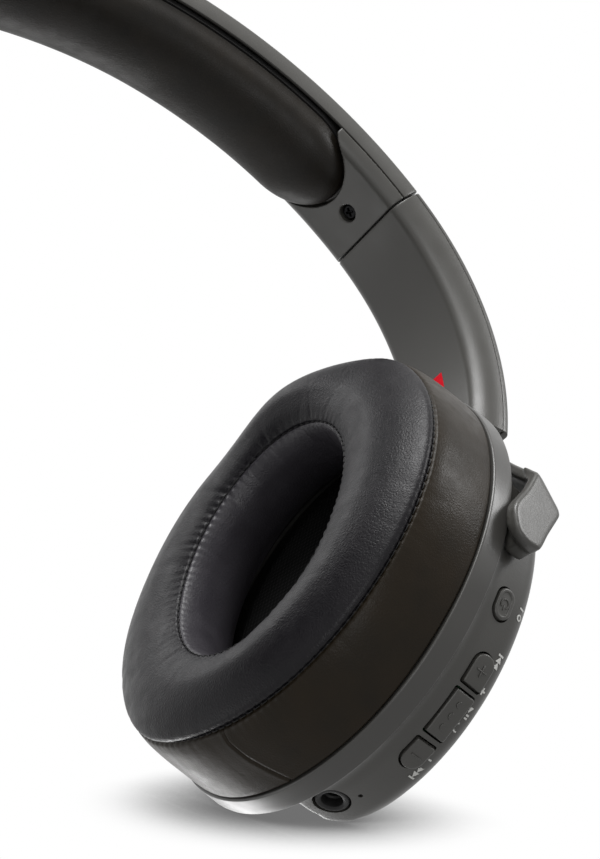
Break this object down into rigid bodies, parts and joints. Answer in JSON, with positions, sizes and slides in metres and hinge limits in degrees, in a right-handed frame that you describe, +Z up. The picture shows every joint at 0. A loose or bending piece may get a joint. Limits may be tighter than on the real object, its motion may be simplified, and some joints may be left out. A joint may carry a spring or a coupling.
{
  "type": "over-ear wireless headset",
  "caption": "Over-ear wireless headset with cushioned headband, sliding arms and round padded ear cups in dark grey, with keys on the right cup",
  "frame": {"origin": "midway between the two ear cups, at the height of their middles, where the middle of the head is when worn", "axes": "+Z up along the head, -Y the way the wearer faces, -X the wearer's right"},
  "size_m": [0.184, 0.0897, 0.1754],
  "materials": {
    "housing_plastic": "soft-touch warm dark grey",
    "satin_ring": "satin grey with bright edges",
    "dark_plastic": "moulded black",
    "leatherette": "fine-grained dark brown-black leatherette",
    "cloth": "thin black dust cloth",
    "steel": "ground spring steel",
    "black_screw": "blackened steel",
    "circuit_board": "green board",
    "cell": "foil pouch"
  },
  "bodies": {
    "band": {"headband_shell": "housing_plastic", "headband_cushion": "leatherette", "headband_pad_base": "dark_plastic", "headband_spring": "steel", "end_cap_right": "housing_plastic", "end_cap_screw_right": "black_screw", "end_cap_left": "housing_plastic", "end_cap_screw_left": "black_screw"},
    "arm_right": {"arm_housing_right": "housing_plastic", "arm_cover_right": "housing_plastic", "slider_tongue_right": "steel", "arm_screw_upper_right": "black_screw", "arm_screw_lower_right": "black_screw", "swivel_pin_right": "steel"},
    "fork_right": {"fork_right": "housing_plastic"},
    "cup_right": {"trim_ring_right": "satin_ring", "back_housing_right": "housing_plastic", "outer_cap_right": "housing_plastic", "baffle_right": "dark_plastic", "driver_right": "dark_plastic", "magnet_right": "steel", "dust_cloth_right": "cloth", "pad_frame_right": "dark_plastic", "ear_pad_right": "leatherette", "pivot_pin_rear_right": "steel", "pivot_pin_front_right": "steel", "circuit_board_right": "circuit_board", "key_board_right": "circuit_board", "jack_socket_right": "dark_plastic", "power_switch": "dark_plastic", "volume_up_switch": "dark_plastic", "play_switch": "dark_plastic", "volume_down_switch": "dark_plastic"},
    "arm_left": {"arm_housing_left": "housing_plastic", "arm_cover_left": "housing_plastic", "slider_tongue_left": "steel", "arm_screw_upper_left": "black_screw", "arm_screw_lower_left": "black_screw", "swivel_pin_left": "steel"},
    "fork_left": {"fork_left": "housing_plastic"},
    "cup_left": {"trim_ring_left": "satin_ring", "back_housing_left": "housing_plastic", "outer_cap_left": "housing_plastic", "baffle_left": "dark_plastic", "driver_left": "dark_plastic", "magnet_left": "steel", "dust_cloth_left": "cloth", "pad_frame_left": "dark_plastic", "ear_pad_left": "leatherette", "pivot_pin_rear_left": "steel", "pivot_pin_front_left": "steel", "battery_left": "cell"},
    "power_key": {"power_button": "housing_plastic"},
    "volume_up_key": {"volume_up_button": "housing_plastic"},
    "play_key": {"play_button": "housing_plastic"},
    "volume_down_key": {"volume_down_button": "housing_plastic"}
  },
  "joints": [
    {"name": "arm_slide_right", "type": "hinge", "parent": "band", "child": "arm_right", "pos_m": [0, 0, 0.027], "axis": [0, -1, 0], "range_deg": [0, 14.4]},
    {"name": "swivel_right", "type": "hinge", "parent": "arm_right", "child": "fork_right", "pos_m": [-0.0858, 0, 0.0535], "axis": [0, 0, 1], "range_deg": [-10, 80]},
    {"name": "tilt_right", "type": "hinge", "parent": "fork_right", "child": "cup_right", "pos_m": [-0.06402, 0.00372, -0.0016], "axis": [-0.1685, 0.9857, 0], "range_deg": [-10, 10]},
    {"name": "arm_slide_left", "type": "hinge", "parent": "band", "child": "arm_left", "pos_m": [0, 0, 0.027], "axis": [0, 1, 0], "range_deg": [0, 14.4]},
    {"name": "swivel_left", "type": "hinge", "parent": "arm_left", "child": "fork_left", "pos_m": [0.0858, 0, 0.0535], "axis": [0, 0, -1], "range_deg": [-10, 80]},
    {"name": "tilt_left", "type": "hinge", "parent": "fork_left", "child": "cup_left", "pos_m": [0.06402, 0.00372, -0.0016], "axis": [-0.1685, -0.9857, 0], "range_deg": [-10, 10]},
    {"name": "power_press", "type": "slide", "parent": "cup_right", "child": "power_key", "axis": [0.1358, -0.9376, 0.3201], "range_m": [0, 0.0005], "stiffness_N_per_m": 400},
    {"name": "volume_up_press", "type": "slide", "parent": "cup_right", "child": "volume_up_key", "axis": [0.0966, -0.8183, 0.5667], "range_m": [0, 0.0005], "stiffness_N_per_m": 400},
    {"name": "play_press", "type": "slide", "parent": "cup_right", "child": "play_key", "axis": [0.0605, -0.6801, 0.7306], "range_m": [0, 0.0005], "stiffness_N_per_m": 400},
    {"name": "volume_down_press", "type": "slide", "parent": "cup_right", "child": "volume_down_key", "axis": [0.0195, -0.5002, 0.8657], "range_m": [0, 0.0005], "stiffness_N_per_m": 400}
  ]
}
